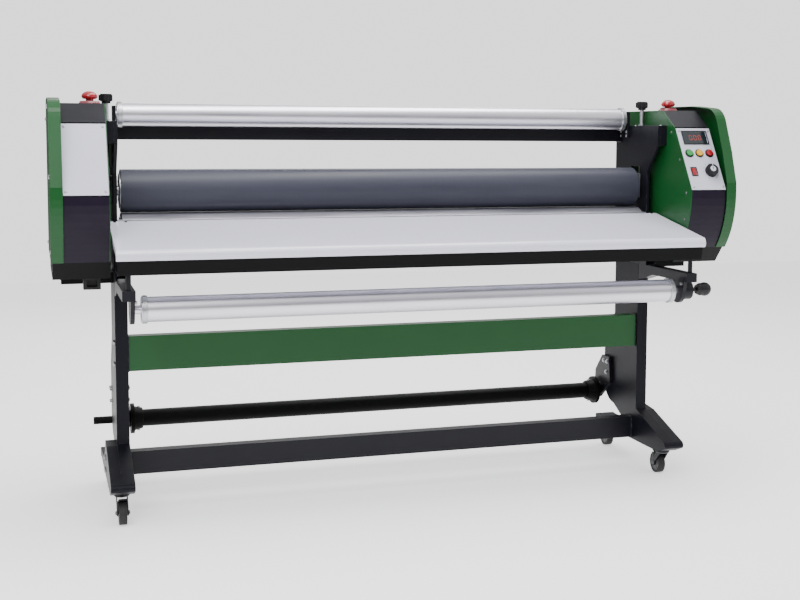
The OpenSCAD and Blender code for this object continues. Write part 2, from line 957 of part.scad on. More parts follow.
// Red mushroom head on its stem
module estop_button() {
    stem_below = 24;
    dome_z = 7;
    color([0.75, 0.1, 0.12])
        on_roof() {
            translate([0, 0, -stem_below])
                cylinder(h = stem_below + estop_head_z + 1, r = estop_stem_r);
            translate([0, 0, estop_head_z])
                rotate_extrude($fn = 64)
                    polygon(concat([[0, 0], [17, 0], [21, 3]],
                                   oval([0, dome_z], estop_head_r, estop_head_h - dome_z, 0, 90, 10)));
        }
}

module speed_knob() {
    color(black)
        on_panel(1)
            translate([knob_at[0], knob_at[1], 0]) {
                translate([0, 0, -18])
                    cylinder(h = 20, r = 3.9);
                translate([0, 0, 1])
                    cylinder(h = 17, r1 = knob_r, r2 = knob_r - 3);
                translate([-1.5, 0, 12])
                    cube([3, knob_r - 4, 7.5]);
            }
}

module push_button(x, tint) {
    color(tint)
        on_panel(1)
            translate([x, button_y, 0]) {
                translate([0, 0, -9])
                    cylinder(h = 15, r = button_r - gap);
                translate([0, 0, -9])
                    cylinder(h = 5.6, r = button_r + 2);
            }
}

module power_rocker() {
    color([0.7, 0.1, 0.1])
        on_panel(1)
            translate([rocker_at[0], rocker_at[1], -3]) {
                rotate([6, 0, 0])
                    cube([rocker_size[0] - 1.4, rocker_size[1] - 2.4, 9], center = true);
                bar_x(-rocker_size[0] / 2 + gap, rocker_size[0] / 2 - gap, 2);
            }
}

// Mains inlet box under the left tray
module power_inlet() {
    inlet = [-housing_in - 70, -96, tray_floor - 34];
    size = [48, 46, 33.9];
    color(black)
        difference() {
            translate(inlet)
                cube(size);
            translate(inlet + [10, -1, 7])
                cube([28, 16, 20]);
        }
}

// ---- casters ----

// Moves from a swivel to the machine; heading 1 turns the wheel to the rear of it
module at_swivel(x, y, heading) {
    translate([x, y, 0])
        rotate([0, 0, heading > 0 ? 180 : 0])
            children();
}

// Swivel fork, with the axle in front of the swivel by the trail
module caster_fork(x, y, heading) {
    axle_z = wheel_d / 2;
    color(black)
        at_swivel(x, y, heading) {
            translate([0, 0, foot_z - 7])
                cylinder(h = 6.8, r = 24);
            translate([0, 0, foot_z - 12])
                cylinder(h = 6, r = 16);
            for (side = [-1, 1])
                difference() {
                    translate([side * 15 - 1.5, 0, 0])
                        rotate([90, 0, 90])
                            linear_extrude(height = 3)
                                polygon(concat([[-12, foot_z - 9], [14, foot_z - 9]],
                                               arc([-caster_trail, axle_z], 10, 10, -190, 8)));
                    bar_x(side * 15 - 3, side * 15 + 3, 4 + grip, -caster_trail, axle_z);
                }
            block([-16.5, -12, foot_z - 12], [16.5, 14, foot_z - 9]);
            bar_x(-19, 19, 4, -caster_trail, axle_z, 32);
        }
}

module caster_wheel(x, y, heading) {
    axle_z = wheel_d / 2;
    color([0.08, 0.08, 0.09])
        at_swivel(x, y, heading)
            difference() {
                bar_x(-11, 11, wheel_d / 2, -caster_trail, axle_z);
                bar_x(-12, 12, 4 + run_fit, -caster_trail, axle_z);
                for (side = [-1, 1])
                    difference() {
                        bar_x(side * 11 - 3, side * 11 + 3, wheel_d / 2 - 8, -caster_trail,
                              axle_z);
                        bar_x(side * 11 - 4, side * 11 + 4, 10, -caster_trail, axle_z);
                    }
            }
}

// ---- one line per node ----

on_side(-1) leg();  // left_leg
on_side(1) leg();  // right_leg
on_side(-1) side_plate();  // left_side_plate
on_side(1) side_plate();  // right_side_plate
front_beam();
lower_tie_bar();
upper_tie_bar();
frame_fasteners();
base_trays();
on_side(-1) outer_cover();  // left_outer_cover
on_side(1) outer_cover();  // right_outer_cover
inner_covers();
top_rear_covers();
left_fascia();
control_panel();
lower_fascias();
display_window();
control_board();
lower_roller_bearings();
gearmotor();
drive_chain();
pressure_bridges();
power_inlet();
shaft_brackets();
table_arms();
nip_guide_plate();
estop_collars();
lower_roller_core();
lower_roller_sleeve();
roller_sprocket();
motor_sprocket();
bearing_blocks();
upper_roller_core();
upper_roller_sleeve();
on_side(-1) pressure_screw();  // left_pressure_screw
on_side(-1) handwheel();  // left_handwheel
on_side(1) pressure_screw();  // right_pressure_screw
on_side(1) handwheel();  // right_handwheel
film_shaft();
print_shaft();
brake_knob();
takeup_shaft();
takeup_flanges();
feed_table();
table_front_rail();
on_side(-1) estop_button();  // left_estop_button
on_side(1) estop_button();  // right_estop_button
speed_knob();
push_button(button_x[0], "green");  // forward_button
push_button(button_x[1], "gold");  // reverse_button
push_button(button_x[2], "red");  // stop_button
power_rocker();
caster_fork(-caster_x, caster_front_y, -1);  // front_left_fork
caster_wheel(-caster_x, caster_front_y, -1);  // front_left_wheel
caster_fork(caster_x, caster_front_y, 1);  // front_right_fork
caster_wheel(caster_x, caster_front_y, 1);  // front_right_wheel
caster_fork(-caster_x, caster_rear_y, 1);  // rear_left_fork
caster_wheel(-caster_x, caster_rear_y, 1);  // rear_left_wheel
caster_fork(caster_x, caster_rear_y, 1);  // rear_right_fork
caster_wheel(caster_x, caster_rear_y, 1);  // rear_right_wheel
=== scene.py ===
import json
import math

import bmesh
import bpy
from mathutils import Matrix, Vector


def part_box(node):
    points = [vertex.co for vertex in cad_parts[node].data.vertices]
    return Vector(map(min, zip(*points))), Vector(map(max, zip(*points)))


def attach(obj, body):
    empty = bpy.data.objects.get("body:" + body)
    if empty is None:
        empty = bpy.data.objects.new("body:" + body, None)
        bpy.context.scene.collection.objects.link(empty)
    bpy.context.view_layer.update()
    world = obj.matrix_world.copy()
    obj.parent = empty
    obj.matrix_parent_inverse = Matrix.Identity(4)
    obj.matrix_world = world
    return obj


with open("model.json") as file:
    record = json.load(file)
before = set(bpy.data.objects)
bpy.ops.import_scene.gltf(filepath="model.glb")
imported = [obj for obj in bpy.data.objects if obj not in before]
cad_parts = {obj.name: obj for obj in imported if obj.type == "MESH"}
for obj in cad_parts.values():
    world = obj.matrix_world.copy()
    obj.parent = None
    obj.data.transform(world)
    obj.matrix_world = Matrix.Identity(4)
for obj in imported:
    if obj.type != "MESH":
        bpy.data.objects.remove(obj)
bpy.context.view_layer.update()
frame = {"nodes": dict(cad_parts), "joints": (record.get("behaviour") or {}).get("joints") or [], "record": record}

MM = 0.001
ROOT = "stand_and_housings"

# ---------------------------------------------------------------- camera, light and floor

CAMERA_AT = (-1.0952, -3.7867, 1.1157)
CAMERA_PITCH = 84.975
CAMERA_YAW = -18.093
CAMERA_ROLL = 0.319
CAMERA_LENS = 56.77
CAMERA_SHIFT = (-0.0545, -0.0678)
SENSOR_WIDTH = 36
WHITE = (1.0, 1.0, 1.0, 1)
HORIZON_LIGHT = 0.13
ZENITH_LIGHT = 1.5
BACKDROP_LIGHT = 1.75
FLOOR_GLOW = 0.72
FLOOR_HALF = 6
FLOOR_COLOUR = (0.86, 0.86, 0.86, 1)
FLOOR_ROUGHNESS = 0.75
LIGHTS = {
    # name: place, target, width, height, power
    "key": ((-2.2, -3.4, 3.4), (0, 0, 0.8), 2.4, 1.8, 120),
    "top": ((0.2, -0.2, 3.4), (0, 0, 0.9), 3.6, 1.2, 120),
    "fill": ((3.8, -2.0, 2.1), (0.4, 0, 0.8), 3.2, 2.6, 36),
    "back": ((0.6, 3.6, 2.4), (0, 0, 0.8), 3.0, 1.2, 45),
}


def make_camera():
    data = bpy.data.cameras.new("camera")
    data.lens = CAMERA_LENS
    data.sensor_width = SENSOR_WIDTH
    camera = bpy.data.objects.new("camera", data)
    camera.location = CAMERA_AT
    data.shift_x, data.shift_y = CAMERA_SHIFT
    turn = (
        Matrix.Rotation(math.radians(CAMERA_YAW), 3, "Z")
        @ Matrix.Rotation(math.radians(CAMERA_PITCH), 3, "X")
        @ Matrix.Rotation(math.radians(CAMERA_ROLL), 3, "Z")
    )
    camera.rotation_euler = turn.to_euler()
    bpy.context.collection.objects.link(camera)
    bpy.context.scene.camera = camera


def make_light(name, place, target, width, height, power):
    data = bpy.data.lights.new(name, "AREA")
    data.shape = "RECTANGLE"
    data.size = width
    data.size_y = height
    data.energy = power
    lamp = bpy.data.objects.new(name, data)
    lamp.location = place
    aim = Vector(target) - Vector(place)
    lamp.rotation_euler = aim.to_track_quat("-Z", "Y").to_euler()
    bpy.context.collection.objects.link(lamp)


def make_world():
    """A soft sky, brighter overhead, that the camera itself sees as an even pale backdrop."""
    world = bpy.data.worlds.new("studio")
    world.use_nodes = True
    tree = world.node_tree
    sky = tree.nodes["Background"]
    sky.inputs["Color"].default_value = WHITE
    place = tree.nodes.new("ShaderNodeTexCoord")
    split = tree.nodes.new("ShaderNodeSeparateXYZ")
    height = tree.nodes.new("ShaderNodeMapRange")
    height.inputs["To Min"].default_value = HORIZON_LIGHT
    height.inputs["To Max"].default_value = ZENITH_LIGHT
    tree.links.new(place.outputs["Generated"], split.inputs[0])
    tree.links.new(split.outputs["Z"], height.inputs["Value"])
    tree.links.new(height.outputs["Result"], sky.inputs["Strength"])
    backdrop = tree.nodes.new("ShaderNodeBackground")
    backdrop.inputs["Color"].default_value = WHITE
    backdrop.inputs["Strength"].default_value = BACKDROP_LIGHT
    path = tree.nodes.new("ShaderNodeLightPath")
    mix = tree.nodes.new("ShaderNodeMixShader")
    tree.links.new(path.outputs["Is Camera Ray"], mix.inputs[0])
    tree.links.new(sky.outputs[0], mix.inputs[1])
    tree.links.new(backdrop.outputs[0], mix.inputs[2])
    tree.links.new(mix.outputs[0], tree.nodes["World Output"].inputs["Surface"])
    bpy.context.scene.world = world


def make_studio():
    make_world()
    for name, settings in LIGHTS.items():
        make_light(name, *settings)


def make_floor():
    """A plain pale floor with a little glow of its own, as under a light tent."""
    mesh = bpy.data.meshes.new("floor")
    half = FLOOR_HALF
    corners = [(-half, -half, 0), (half, -half, 0), (half, half, 0), (-half, half, 0)]
    mesh.from_pydata(corners, [], [(0, 1, 2, 3)])
    floor = bpy.data.objects.new("floor", mesh)
    bpy.context.collection.objects.link(floor)
    paint = bpy.data.materials.new("floor_paint")
    paint.use_nodes = True
    shader = paint.node_tree.nodes["Principled BSDF"]
    shader.inputs["Base Color"].default_value = FLOOR_COLOUR
    shader.inputs["Roughness"].default_value = FLOOR_ROUGHNESS
    shader.inputs["Emission Color"].default_value = WHITE
    shader.inputs["Emission Strength"].default_value = FLOOR_GLOW
    floor.data.materials.append(paint)


make_camera()
make_studio()
make_floor()

# ---------------------------------------------------------------- materials

PALE_DUST = (0.45, 0.44, 0.42)
WORN_METAL = (0.30, 0.30, 0.31)
BEVEL_SAMPLES = 4


def lighter(colour, factor, lift=0.0):
    """A colour scaled and lifted, but not past white."""
    return [min(1, c * factor + lift) for c in colour]


def darker(colour, factor):
    return [c * factor for c in colour]


class Shader:
    """A small helper round one Principled material and its node tree."""

    def __init__(self, name, colour, roughness, metallic=0.0, **sockets):
        self.material = bpy.data.materials.new(name)
        self.material.use_nodes = True
        self.tree = self.material.node_tree
        self.principled = self.tree.nodes["Principled BSDF"]
        self.set("Base Color", (*colour, 1))
        self.set("Roughness", roughness)
        self.set("Metallic", metallic)
        for socket, value in sockets.items():
            self.set(socket.replace("_", " "), value)
        self.colour = None
        self.bump = None

    def set(self, socket, value):
        self.principled.inputs[socket].default_value = value

    def node(self, kind, **values):
        made = self.tree.nodes.new(kind)
        for key, value in values.items():
            setattr(made, key, value)
        return made

    def link(self, source, target):
        self.tree.links.new(source, target)

    def coordinates(self, stretch=(1, 1, 1)):
        """Object coordinates in metres, scaled along each axis."""
        place = self.node("ShaderNodeTexCoord")
        mapping = self.node("ShaderNodeMapping")
        mapping.inputs["Scale"].default_value = stretch
        self.link(place.outputs["Object"], mapping.inputs["Vector"])
        return mapping.outputs["Vector"]

    def noise(self, scale, detail=3.0, rough=0.55, stretch=(1, 1, 1)):
        """Noise between 0 and 1, with scale in cells per metre."""
        made = self.node("ShaderNodeTexNoise")
        made.inputs["Scale"].default_value = scale
        made.inputs["Detail"].default_value = detail
        made.inputs["Roughness"].default_value = rough
        self.link(self.coordinates(stretch), made.inputs["Vector"])
        return made.outputs["Fac"]

    def remap(self, value, low, high, to_low=0.0, to_high=1.0):
        made = self.node("ShaderNodeMapRange")
        made.inputs["From Min"].default_value = low
        made.inputs["From Max"].default_value = high
        made.inputs["To Min"].default_value = to_low
        made.inputs["To Max"].default_value = to_high
        self.link(value, made.inputs["Value"])
        return made.outputs["Result"]

    def times(self, a, b):
        made = self.node("ShaderNodeMath", operation="MULTIPLY")
        self.link(a, made.inputs[0])
        if isinstance(b, (int, float)):
            made.inputs[1].default_value = b
        else:
            self.link(b, made.inputs[1])
        return made.outputs[0]

    def tint(self, mask, colour):
        """Blends the base colour towards another where the mask is 1."""
        mix = self.node("ShaderNodeMix", data_type="RGBA")
        base = self.principled.inputs["Base Color"]
        if self.colour is None:
            mix.inputs["A"].default_value = base.default_value
        else:
            self.link(self.colour, mix.inputs["A"])
        mix.inputs["B"].default_value = (*colour, 1)
        self.link(mask, mix.inputs["Factor"])
        self.colour = mix.outputs["Result"]
        self.link(self.colour, base)

    def vary_roughness(self, value, low, high):
        self.link(self.remap(value, 0.3, 0.7, low, high), self.principled.inputs["Roughness"])

    def add_bump(self, height, distance, strength=1.0):
        made = self.node("ShaderNodeBump")
        made.inputs["Strength"].default_value = strength
        made.inputs["Distance"].default_value = distance
        self.link(height, made.inputs["Height"])
        if self.bump is not None:
            self.link(self.bump, made.inputs["Normal"])
        self.bump = made.outputs["Normal"]
        self.link(self.bump, self.principled.inputs["Normal"])

    def edges(self, radius, breakup_scale=90):
        """A broken-up mask that is 1 on outer edges, for worn paint."""
        bevel = self.node("ShaderNodeBevel", samples=BEVEL_SAMPLES)
        bevel.inputs["Radius"].default_value = radius
        geometry = self.node("ShaderNodeNewGeometry")
        dot = self.node("ShaderNodeVectorMath", operation="DOT_PRODUCT")
        self.link(bevel.outputs["Normal"], dot.inputs[0])
        self.link(geometry.outputs["True Normal"], dot.inputs[1])
        edge = self.remap(dot.outputs["Value"], 0.995, 0.90)
        breakup = self.remap(self.noise(breakup_scale, 4), 0.5, 0.68)
        return self.times(edge, breakup)

    def dust(self, amount):
        """A faint patchy film on faces that point up."""
        geometry = self.node("ShaderNodeNewGeometry")
        split = self.node("ShaderNodeSeparateXYZ")
        self.link(geometry.outputs["Normal"], split.inputs[0])
        up = self.remap(split.outputs["Z"], 0.55, 0.98)
        return self.times(self.times(up, self.remap(self.noise(9, 4), 0.35, 0.75)), amount)


# Each roughness range stays on one side of 0.275, because a range that crosses it leaves
# small patches in a denoised picture.


def powder_coat(name, colour, rough, worn=WORN_METAL, wear=0.35, gloss=0.3):
    """Sprayed powder coat: orange peel, slight clouding, worn edges and a little dust."""
    s = Shader(name, colour, rough, Specular_IOR_Level=gloss)
    s.tint(s.remap(s.noise(6, 4), 0.35, 0.8, 0, 0.3), lighter(colour, 1.25, 0.0004))
    s.tint(s.remap(s.noise(2.3, 3), 0.3, 0.75, 0, 0.25), darker(colour, 0.8))
    s.tint(s.times(s.edges(0.0012), wear), worn)
    s.tint(s.dust(0.03), PALE_DUST)
    s.vary_roughness(s.noise(14, 2), rough - 0.01, rough + 0.03)
    s.add_bump(s.noise(520, 2, 0.5), 0.00002, 0.3)
    return s.material


def moulded_plastic(name, colour, rough, **sockets):
    """Fine-grained moulding with faint clouding and dust."""
    s = Shader(name, colour, rough, **sockets)
    s.tint(s.remap(s.noise(11, 4), 0.4, 0.75, 0, 0.3), lighter(colour, 1.25, 0.001))
    s.tint(s.dust(0.05), (0.4, 0.4, 0.4))
    s.vary_roughness(s.noise(23, 3), rough - 0.07, rough + 0.07)
    s.add_bump(s.noise(1400, 2), 0.00008, 0.6)
    return s.material


def turned_metal(name, colour, rough):
    """Tube turned and polished round its X axis, with fine rings and handling marks."""
    s = Shader(name, colour, rough, metallic=1.0)
    rings = s.noise(1, 2, 0.6, (1600, 6, 6))
    smear = s.noise(1, 4, 0.6, (3, 30, 30))
    s.tint(s.remap(smear, 0.4, 0.8, 0, 0.25), darker(colour, 0.72))
    s.tint(s.remap(rings, 0.3, 0.7, 0, 0.12), lighter(colour, 1.12))
    s.vary_roughness(smear, rough - 0.01, rough + 0.1)
    s.add_bump(rings, 0.00004, 0.35)
    return s.material


def machined_steel(name, colour, rough=0.35):
    """Cut or plated steel with darker, oily patches."""
    s = Shader(name, colour, rough, metallic=1.0)
    s.tint(s.remap(s.noise(38, 5), 0.45, 0.75, 0, 0.4), darker(colour, 0.6))
    s.vary_roughness(s.noise(70, 4), rough - 0.06, rough + 0.14)
    s.add_bump(s.noise(900, 3), 0.00005, 0.5)
    return s.material


def cast_paint(name, colour):
    """Rough casting under thin paint, rubbed bare along its edges."""
    s = Shader(name, colour, 0.55, metallic=0.2)
    s.tint(s.remap(s.noise(50, 5), 0.4, 0.8, 0, 0.5), lighter(colour, 1.5))
    s.tint(s.times(s.edges(0.0015), 0.5), (0.35, 0.35, 0.36))
    s.add_bump(s.noise(420, 5, 0.65), 0.0005, 0.6)
    return s.material


def ground_rubber(name, colour, rough):
    """Rubber ground round its axis: fine spiral grind lines, chalky smears and lint."""
    s = Shader(name, colour, rough, Specular_IOR_Level=0.28)
    lines = s.noise(1, 3, 0.6, (420, 5, 5))
    smear = s.noise(1, 5, 0.6, (2.2, 14, 14))
    s.tint(s.remap(smear, 0.42, 0.85, 0, 0.45), lighter(colour, 1.55, 0.01))
    s.tint(s.remap(lines, 0.45, 0.75, 0, 0.16), darker(colour, 0.7))
    s.tint(s.remap(s.noise(420, 3), 0.70, 0.76, 0, 0.3), (0.5, 0.5, 0.52))
    s.vary_roughness(smear, rough - 0.06, rough + 0.1)
    s.add_bump(lines, 0.00006, 0.35)
    return s.material


def table_laminate(name, colour):
    """Pale coated sheet: long faint scuffs from front to back, where media slides."""
    s = Shader(name, colour, 0.3, Coat_Weight=0.6, Coat_Roughness=0.08)
    scuffs = s.noise(1, 5, 0.65, (260, 3.5, 3.5))
    s.tint(s.remap(scuffs, 0.52, 0.78, 0, 0.35), darker(colour, 0.86))
    s.tint(s.remap(s.noise(3, 4), 0.45, 0.8, 0, 0.3), darker(colour, 0.9))
    s.tint(s.times(s.edges(0.0015, 60), 0.4), (0.42, 0.42, 0.45))
    s.vary_roughness(scuffs, 0.29, 0.4)
    s.add_bump(scuffs, 0.00004, 0.3)
    s.add_bump(s.noise(700, 2), 0.00003, 0.4)
    return s.material


def glossy_button(name, colour, rough=0.2):
    """Polished plastic with a thin clear coat."""
    s = Shader(name, colour, rough, Coat_Weight=0.3, Coat_Roughness=0.1)
    s.tint(s.remap(s.noise(60, 4), 0.5, 0.8, 0, 0.3), darker(colour, 0.8))
    s.tint(s.dust(0.03), (0.5, 0.5, 0.5))
    s.vary_roughness(s.noise(90, 3), rough - 0.04, rough + 0.05)
    s.add_bump(s.noise(700, 2), 0.000008, 0.3)
    return s.material


def circuit_board(name, colour):
    """Solder mask with a net of copper tracks."""
    s = Shader(name, colour, 0.4)
    voronoi = s.node("ShaderNodeTexVoronoi", distance="CHEBYCHEV")
    voronoi.inputs["Scale"].default_value = 130
    s.link(s.coordinates(), voronoi.inputs["Vector"])
    s.tint(s.remap(voronoi.outputs["Distance"], 0.42, 0.5, 0, 0.7), (0.35, 0.25, 0.08))
    s.add_bump(voronoi.outputs["Distance"], 0.0002, 0.4)
    return s.material


def caster_tread(name):
    """Black tread, scuffed grey in patches."""
    s = Shader(name, (0.010, 0.010, 0.011), 0.6, Specular_IOR_Level=0.3)
    s.tint(s.remap(s.noise(30, 4), 0.45, 0.8, 0, 0.5), (0.035, 0.033, 0.03))
    s.add_bump(s.noise(600, 3), 0.0002, 0.5)
    return s.material


MATERIALS = {
    "frame_black": powder_coat("frame_black", (0.0050, 0.0050, 0.0088), 0.38, gloss=0.22),
    "machine_green": powder_coat(
        "machine_green", (0.0056, 0.064, 0.0140), 0.30, (0.04, 0.16, 0.07), 0.3, gloss=0.26
    ),
    "panel_silver": powder_coat("panel_silver", (0.52, 0.52, 0.61), 0.36, (0.75, 0.75, 0.78), 0.3),
    "fascia_dark": moulded_plastic(
        "fascia_dark", (0.0085, 0.0050, 0.0135), 0.36, Specular_IOR_Level=0.15
    ),
    "table_white": table_laminate("table_white", (0.64, 0.64, 0.735)),
    "bare_steel": machined_steel("bare_steel", (0.50, 0.51, 0.53)),
    "shaft_aluminium": turned_metal("shaft_aluminium", (0.70, 0.69, 0.76), 0.30),
    "lower_rubber": ground_rubber("lower_rubber", (0.012, 0.012, 0.014), 0.5),
    "silicone": ground_rubber("silicone", (0.036, 0.038, 0.055), 0.42),
    "cast_grey": cast_paint("cast_grey", (0.10, 0.105, 0.11)),
    "chain_steel": machined_steel("chain_steel", (0.15, 0.14, 0.13), 0.4),
    "black_plastic": moulded_plastic(
        "black_plastic", (0.0060, 0.0060, 0.0075), 0.42, Specular_IOR_Level=0.3
    ),
    "button_red": glossy_button("button_red", (0.30, 0.006, 0.012)),
    "button_green": glossy_button("button_green", (0.02, 0.24, 0.05)),
    "button_yellow": glossy_button("button_yellow", (0.62, 0.34, 0.02)),
    "shroud_red": glossy_button("shroud_red", (0.20, 0.022, 0.035), 0.4),
    "display": glossy_button("display", (0.010, 0.016, 0.02), 0.1),
    "circuit_green": circuit_board("circuit_green", (0.012, 0.10, 0.035)),
    "caster_tyre": caster_tread("caster_tyre"),
    "zinc": machined_steel("zinc", (0.42, 0.42, 0.44), 0.36),
    "hub_grey": moulded_plastic("hub_grey", (0.06, 0.06, 0.065), 0.45),
    "display_glow": glossy_button("display_glow", (0.45, 0.02, 0.012), 0.34),
    "leg_black": powder_coat("leg_black", (0.0045, 0.0045, 0.0080), 0.40, gloss=0.12),
    "rail_black": powder_coat("rail_black", (0.0018, 0.0018, 0.0022), 0.45, gloss=0.1),
}
# CAD nodes whose paint here is duller than the slot that the record gives them.
NODE_PAINT = {
    "table_front_rail": "rail_black",
    "takeup_shaft": "rail_black",
    "takeup_flanges": "rail_black",
    "base_trays": "rail_black",
    "left_leg": "leg_black",
    "right_leg": "leg_black",
}
# Materials that aren't slots of the record, with the slot that stands for each.
SLOT_OF = {part["node"]: part["material_slot"] for part in frame["record"]["subparts"]}


EDGE_RADIUS = {
    "left_outer_cover": 0.0025,
    "right_outer_cover": 0.0025,
    "left_leg": 0.0025,
    "right_leg": 0.0025,
    "feed_table": 0.0012,
    "upper_roller_sleeve": 0.0015,
    "lower_roller_sleeve": 0.0015,
    "film_shaft": 0.0012,
    "print_shaft": 0.0012,
}
SMALL_EDGE = 0.0006


def dress_cad_nodes():
    """Gives each CAD node its material and softens its hard edges."""
    for name, node in frame["nodes"].items():
        node.data.materials.clear()
        node.data.materials.append(MATERIALS[NODE_PAINT.get(name, SLOT_OF[name])])
        soften(node, EDGE_RADIUS.get(name, SMALL_EDGE))


def soften(piece, radius):
    """Rounds the edges of a faceted mesh and keeps its flat faces flat."""
    weld = piece.modifiers.new("weld", "WELD")
    weld.merge_threshold = 0.00002
    bevel = piece.modifiers.new("bevel", "BEVEL")
    bevel.width = radius
    bevel.segments = 2
    bevel.limit_method = "ANGLE"
    bevel.angle_limit = math.radians(35)
    bevel.harden_normals = False
    normals = piece.modifiers.new("normals", "WEIGHTED_NORMAL")
    normals.keep_sharp = True
    normals.weight = 80


dress_cad_nodes()

# ---------------------------------------------------------------- mesh helpers

BEAD_UP = (0.3, 0.5, 0.8)


def finish_piece(name, bm, body, slot, sharp_angle=32):
    """Turns a bmesh into a piece that rides on a body, smooth but for its sharp edges."""
    bmesh.ops.remove_doubles(bm, verts=bm.verts, dist=1e-6)
    bmesh.ops.recalc_face_normals(bm, faces=bm.faces)
    mesh = bpy.data.meshes.new(name)
    bm.to_mesh(mesh)
    bm.free()
    for face in mesh.polygons:
        face.use_smooth = True
    mesh.set_sharp_from_angle(angle=math.radians(sharp_angle))
    mesh.materials.append(MATERIALS[slot])
    piece = bpy.data.objects.new(name, mesh)
    bpy.context.collection.objects.link(piece)
    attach(piece, body)
    return piece


def frame_at(place, normal, up=(0, 0, 1)):
    """A matrix whose local z is the normal and whose local y leans towards up."""
    z = Vector(normal).normalized()
    x = Vector(up).cross(z)
    if x.length < 1e-6:
        x = Vector((1, 0, 0))
    x.normalize()
    y = z.cross(x)
    matrix = Matrix((x, y, z)).transposed().to_4x4()
    matrix.translation = Vector(place)
    return matrix


def hexagon_factor(index, segments):
    """How far a hexagon's side lies from its corner circle at this step round it."""
    angle = 360 * index / segments % 60 - 30
    return math.cos(math.radians(30)) / math.cos(math.radians(angle))


def lathe(bm, profile, matrix, segments=32, hexagonal=()):
    """Turns a closed profile of (radius, height) points in mm; rows in hexagonal are six-sided."""
    rings = []
    for row, (radius, height) in enumerate(profile):
        if radius == 0:
            rings.append([bm.verts.new(matrix @ Vector((0, 0, height * MM)))])
            continue
        ring = []
        for i in range(segments):
            r = radius * MM * (hexagon_factor(i, segments) if row in hexagonal else 1)
            angle = 2 * math.pi * i / segments
            point = Vector((r * math.cos(angle), r * math.sin(angle), height * MM))
            ring.append(bm.verts.new(matrix @ point))
        rings.append(ring)
    for lower, upper in zip(rings, rings[1:]):
        for i in range(segments):
            j = (i + 1) % segments
            corners = [lower[i % len(lower)], lower[j % len(lower)],
                       upper[j % len(upper)], upper[i % len(upper)]]
            unique = list(dict.fromkeys(corners))
            if len(unique) > 2:
                bm.faces.new(unique)
    for ring in (rings[0], rings[-1]):
        if len(ring) > 1:
            bm.faces.new(ring)


def soft_box(bm, low, high, matrix, radius=1.0, segments=2):
    """A box in mm with all its edges rounded."""
    low, high = Vector(low) * MM, Vector(high) * MM
    made = bmesh.ops.create_cube(bm, size=1)["verts"]
    for vert in made:
        vert.co = Vector(low[k] + (vert.co[k] + 0.5) * (high[k] - low[k]) for k in range(3))
    edges = list({edge for vert in made for edge in vert.link_edges})
    result = bmesh.ops.bevel(
        bm, geom=edges, offset=radius * MM, segments=segments, affect="EDGES", profile=0.5
    )
    grown = {vert for face in result["faces"] for vert in face.verts}
    grown |= {vert for vert in made if vert.is_valid}
    bmesh.ops.transform(bm, matrix=matrix, verts=list(grown))


def bead_path(bm, points, radius, segments, wobble):
    """A closed round bead along points in metres, with its radius scaled by wobble(index)."""
    rings = []
    for i, point in enumerate(points):
        ahead = points[min(i + 1, len(points) - 1)] - points[max(i - 1, 0)]
        matrix = frame_at(point, ahead, BEAD_UP)
        r = radius * wobble(i)
        rings.append([
            bm.verts.new(matrix @ Vector((r * math.cos(a), r * math.sin(a), 0)))
            for a in (2 * math.pi * k / segments for k in range(segments))
        ])
    for lower, upper in zip(rings, rings[1:]):
        for i in range(segments):
            j = (i + 1) % segments
            bm.faces.new((lower[i], lower[j], upper[j], upper[i]))
    bm.faces.new(list(reversed(rings[0])))
    bm.faces.new(rings[-1])


def box_of(node):
    """A node's lowest and highest corners, and its middle, in mm."""
    low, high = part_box(node)
    return low / MM, high / MM, (low + high) / 2 / MM


# ---------------------------------------------------------------- fasteners

BUTTON_HEAD = [(0, 0.4), (1.7, 0.4), (1.7, 2.2), (2.3, 2.35), (4.0, 1.6), (4.9, 0.5), (5.0, -0.4)]
SOCKET_HEAD = [(0, 3.0), (3.0, 3.0), (3.0, 7.6), (5.4, 8.0), (6.2, 7.3), (6.2, -0.4)]
HEX_NUT = [(0, 7.5), (4.0, 7.5), (4.2, 6.4), (8.6, 6.5), (9.2, 5.8), (9.2, -0.4)]
WASHER = [(4.3, 1.4), (11.6, 1.5), (12.0, 1.1), (12.0, -0.4), (4.3, -0.4)]


def scaled(profile, size):
    return [(r * size, h * size) for r, h in profile]


def screw_head(bm, place, normal, head, size):
    """A screw head with a hexagon socket, seated at a place in mm."""
    lathe(bm, scaled(head, size), frame_at(Vector(place) * MM, normal), 24, hexagonal=(1, 2))


def button_screw(bm, place, normal, size):
    screw_head(bm, place, normal, BUTTON_HEAD, size)


def socket_screw(bm, place, normal, size):
    screw_head(bm, place, normal, SOCKET_HEAD, size)


def nut_and_washer(bm, place, normal, size):
    matrix = frame_at(Vector(place) * MM, normal)
    lathe(bm, scaled(WASHER + WASHER[:1], size), matrix, 32)
    lathe(bm, scaled(HEX_NUT, size), matrix, 36, hexagonal=(3, 4, 5))


def housing_screws():
    """Button screws in the outer covers and in the roof and back sheets of both housings."""
    bm = bmesh.new()
    cover_low, cover_high, cover_mid = box_of("right_outer_cover")
    top_low, top_high, top_mid = box_of("top_rear_covers")
    inset = 26
    sheet_x = (cover_low.x - 98, cover_low.x - 20)
    for side in (-1, 1):
        outer = side * cover_high.x
        for y, z in (
            (cover_low.y + 118, cover_low.z + inset),
            (cover_high.y - inset, cover_low.z + inset),
            (cover_high.y - inset, cover_high.z - 60),
            (cover_mid.y - 50, cover_high.z - inset),
            (cover_low.y + inset, cover_mid.z + 10),
        ):
            button_screw(bm, (outer, y, z), (side, 0, 0), 1.3)
        for x in sheet_x:
            for z in (top_low.z + 18, top_mid.z + 20, top_high.z - 55):
                button_screw(bm, (side * x, top_high.y, z), (0, 1, 0), 0.9)
            button_screw(bm, (side * x, top_high.y - 60, top_high.z), (0, 0, 1), 0.9)
    return finish_piece("housing_screws", bm, ROOT, "zinc")


